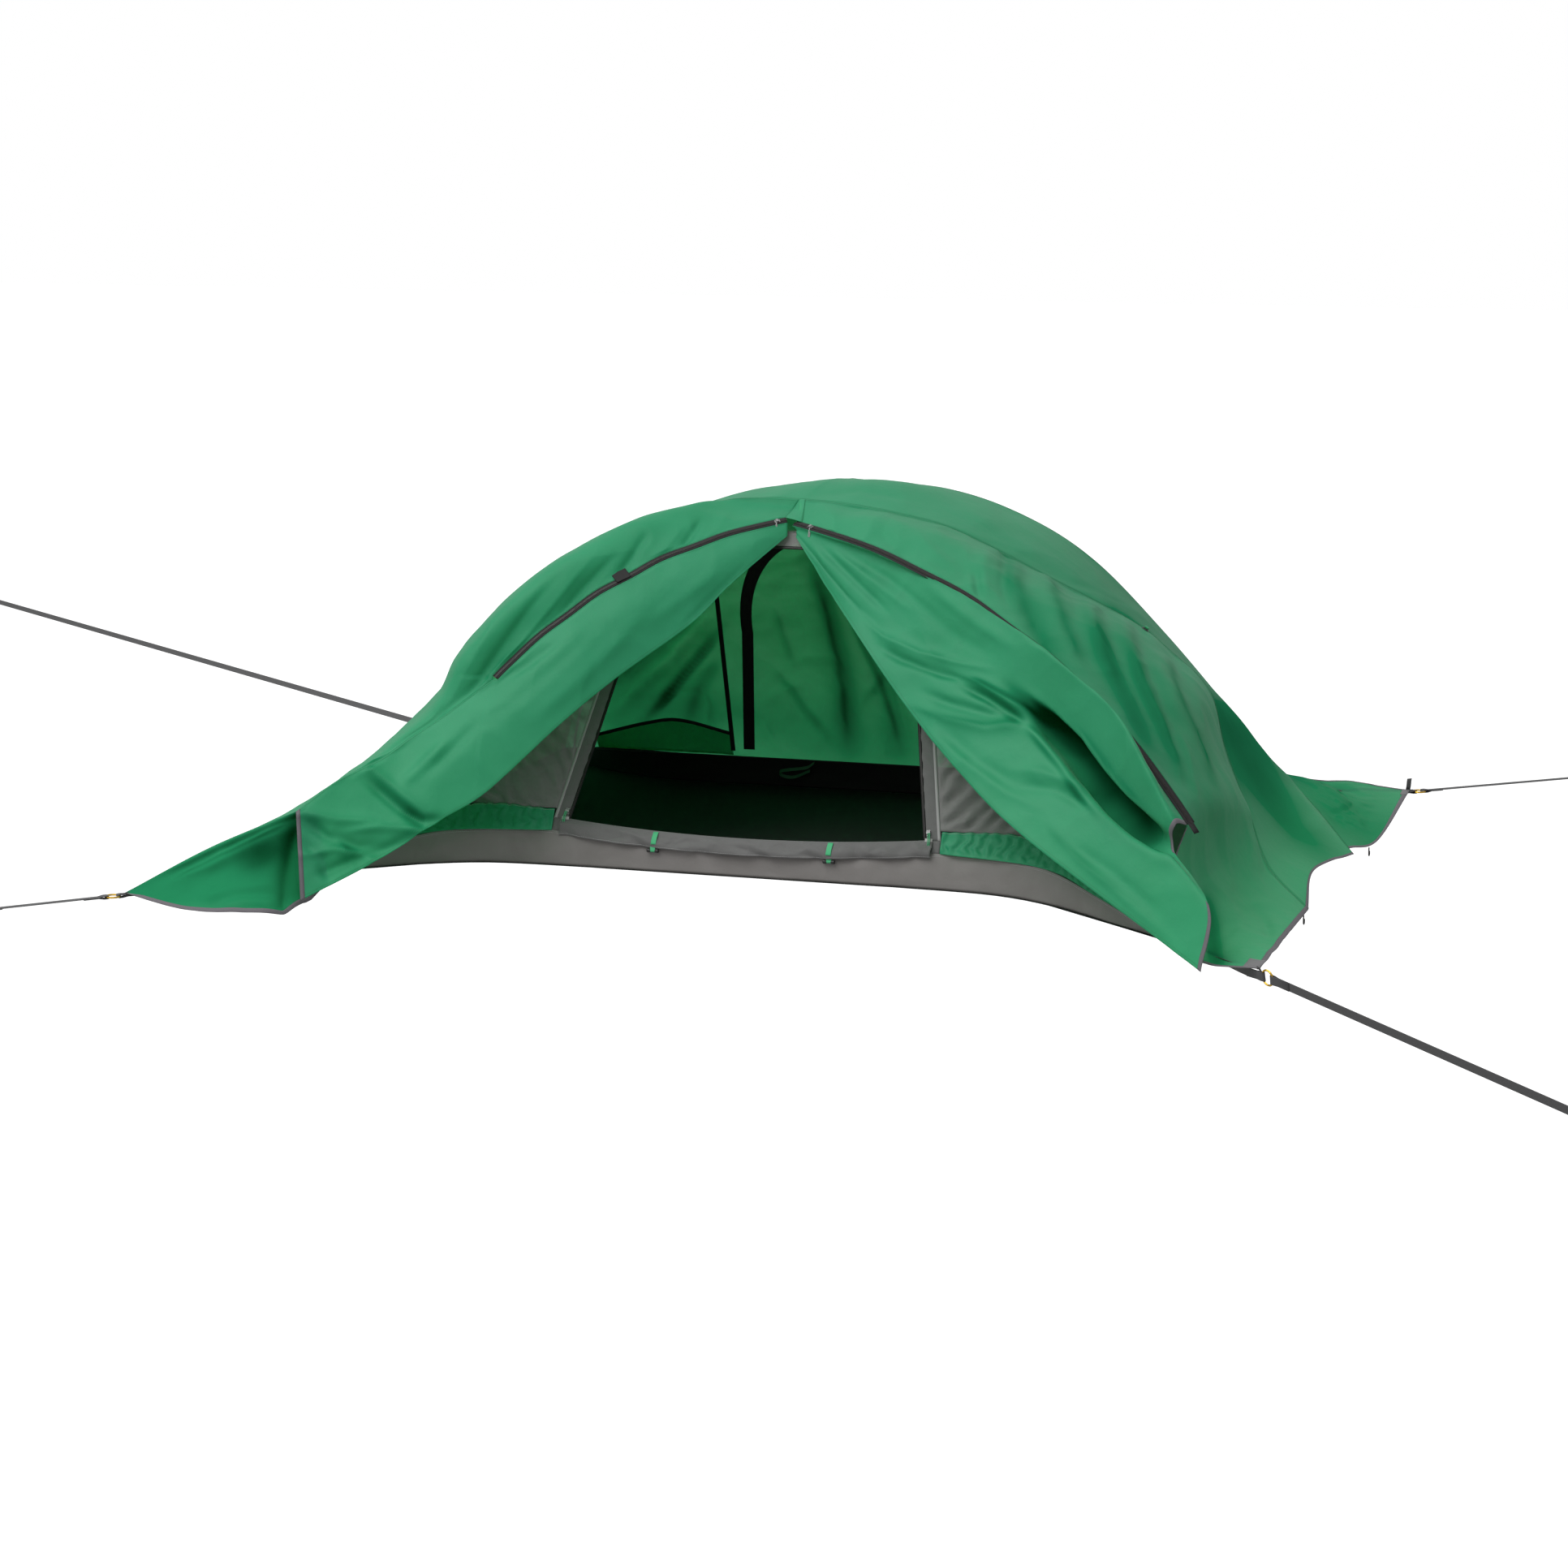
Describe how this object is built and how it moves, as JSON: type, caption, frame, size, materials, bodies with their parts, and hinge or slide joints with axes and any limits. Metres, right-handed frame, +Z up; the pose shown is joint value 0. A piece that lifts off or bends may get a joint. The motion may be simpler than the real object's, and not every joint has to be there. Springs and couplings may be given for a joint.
{
  "type": "tree tent",
  "caption": "Suspended dome tent: star-shaped floor hung by straps between trees, cross-pole mesh inner tent and a fly sheet with its front door rolled open.",
  "frame": {"origin": "the middle of the rectangle of the corner rings, at the rings' height", "axes": "+X along the tent to the right as seen from the open front, +Y from the open front to the closed back, +Z up"},
  "size_m": [8.1551, 6.7359, 1.2779],
  "materials": {
    "yellow_zinc": "yellow zinc plate on steel",
    "steel": "satin",
    "webbing": "woven polyester webbing",
    "floor_fabric": "coated, dull",
    "bathtub_fabric": "coated, dull",
    "mesh_fabric": "fine mesh",
    "grosgrain_tape": "ribbed",
    "black_binding": "ribbed",
    "green_fabric": "coated ripstop",
    "black_plastic": "moulded",
    "pole_alloy": "anodised"
  },
  "bodies": {
    "tent": {"corner_ring_fl": "yellow_zinc", "corner_ring_fr": "yellow_zinc", "corner_ring_br": "yellow_zinc", "corner_ring_bl": "yellow_zinc", "tree_strap_fl": "webbing", "tree_strap_fr": "webbing", "tree_strap_br": "webbing", "tree_strap_bl": "webbing", "load_webbing_a": "webbing", "load_webbing_b": "webbing", "floor": "floor_fabric", "bathtub_front": "bathtub_fabric", "bathtub_rear": "bathtub_fabric", "bathtub_left": "bathtub_fabric", "bathtub_right": "bathtub_fabric", "inner_tape_left": "grosgrain_tape", "inner_tape_right": "grosgrain_tape", "inner_gusset_left": "mesh_fabric", "inner_gusset_right": "mesh_fabric", "inner_corner_panel_left": "green_fabric", "inner_corner_panel_right": "green_fabric", "inner_front_peak": "mesh_fabric", "inner_sill": "mesh_fabric", "inner_rear_wall": "mesh_fabric", "rear_door_zip": "black_binding", "inner_left_wall": "green_fabric", "inner_right_wall": "green_fabric", "inner_roof": "mesh_fabric", "inner_door_lowered": "mesh_fabric", "gear_loop": "green_fabric", "pole_a": "pole_alloy", "pole_b": "pole_alloy", "pole_pocket_fl": "black_plastic", "pole_pocket_fr": "black_plastic", "pole_pocket_br": "black_plastic", "pole_pocket_bl": "black_plastic", "crown_clip": "black_plastic", "fly_roof": "green_fabric", "fly_band_left": "green_fabric", "fly_wing_left": "green_fabric", "fly_door_left": "green_fabric", "fly_band_right": "green_fabric", "fly_door_right": "green_fabric", "fly_rear": "green_fabric", "fly_zip_left": "black_binding", "fly_zip_right": "black_binding"},
    "fly_slider_left": {"fly_slider_left": "steel"},
    "fly_slider_right": {"fly_slider_right": "steel"},
    "inner_slider_left": {"inner_slider_left": "steel"},
    "inner_slider_right": {"inner_slider_right": "steel"},
    "sill_toggle_left": {"sill_toggle_left": "black_plastic"},
    "sill_toggle_right": {"sill_toggle_right": "black_plastic"},
    "hem_hook_left_front": {"hem_hook_left_front": "black_plastic"},
    "hem_hook_left_rear": {"hem_hook_left_rear": "black_plastic"},
    "hem_hook_right_front": {"hem_hook_right_front": "black_plastic"},
    "hem_hook_right_rear": {"hem_hook_right_rear": "black_plastic"},
    "guy_loop_left": {"guy_loop_left": "black_binding"},
    "guy_loop_right": {"guy_loop_right": "black_binding"}
  },
  "joints": [
    {"name": "fly_slider_left_run", "type": "hinge", "parent": "tent", "child": "fly_slider_left", "pos_m": [0.46687, -0.58741, -0.52224], "axis": [0.4162, -0.8555, 0.3082], "range_deg": [0, 32]},
    {"name": "fly_slider_right_run", "type": "hinge", "parent": "tent", "child": "fly_slider_right", "pos_m": [-0.73968, -1.22779, -1.64012], "axis": [0.3151, 0.8593, -0.4029], "range_deg": [0, 20]},
    {"name": "inner_slider_left_run", "type": "slide", "parent": "tent", "child": "inner_slider_left", "axis": [0.1775, 0.4443, 0.8781], "range_m": [0, 0.45]},
    {"name": "inner_slider_right_run", "type": "slide", "parent": "tent", "child": "inner_slider_right", "axis": [-0.1775, 0.4443, 0.8781], "range_m": [0, 0.45]},
    {"name": "sill_toggle_left_swing", "type": "hinge", "parent": "tent", "child": "sill_toggle_left", "pos_m": [-0.28, -0.72614, 0.11], "axis": [1, 0, 0], "range_deg": [-120, 0]},
    {"name": "sill_toggle_right_swing", "type": "hinge", "parent": "tent", "child": "sill_toggle_right", "pos_m": [0.28, -0.72614, 0.11], "axis": [1, 0, 0], "range_deg": [-120, 0]},
    {"name": "hem_hook_left_front_swing", "type": "hinge", "parent": "tent", "child": "hem_hook_left_front", "pos_m": [-1.70266, -0.62179, 0.01474], "axis": [0, 1, 0], "range_deg": [-60, 60]},
    {"name": "hem_hook_left_rear_swing", "type": "hinge", "parent": "tent", "child": "hem_hook_left_rear", "pos_m": [-1.69969, 0.4825, 0.01739], "axis": [0, 1, 0], "range_deg": [-60, 60]},
    {"name": "hem_hook_right_front_swing", "type": "hinge", "parent": "tent", "child": "hem_hook_right_front", "pos_m": [1.69796, -0.62179, -0.00262], "axis": [0, 1, 0], "range_deg": [-60, 60]},
    {"name": "hem_hook_right_rear_swing", "type": "hinge", "parent": "tent", "child": "hem_hook_right_rear", "pos_m": [1.71777, 0.4825, -0.0138], "axis": [0, 1, 0], "range_deg": [-60, 60]},
    {"name": "guy_loop_left_lift", "type": "hinge", "parent": "tent", "child": "guy_loop_left", "pos_m": [-1.03859, 0.06308, 0.72405], "axis": [-0.6939, -0.1107, -0.7115], "range_deg": [0, 150]},
    {"name": "guy_loop_right_lift", "type": "hinge", "parent": "tent", "child": "guy_loop_right", "pos_m": [1.06812, 0.06211, 0.7226], "axis": [-0.8406, 0.0281, 0.541], "range_deg": [0, 150]}
  ]
}
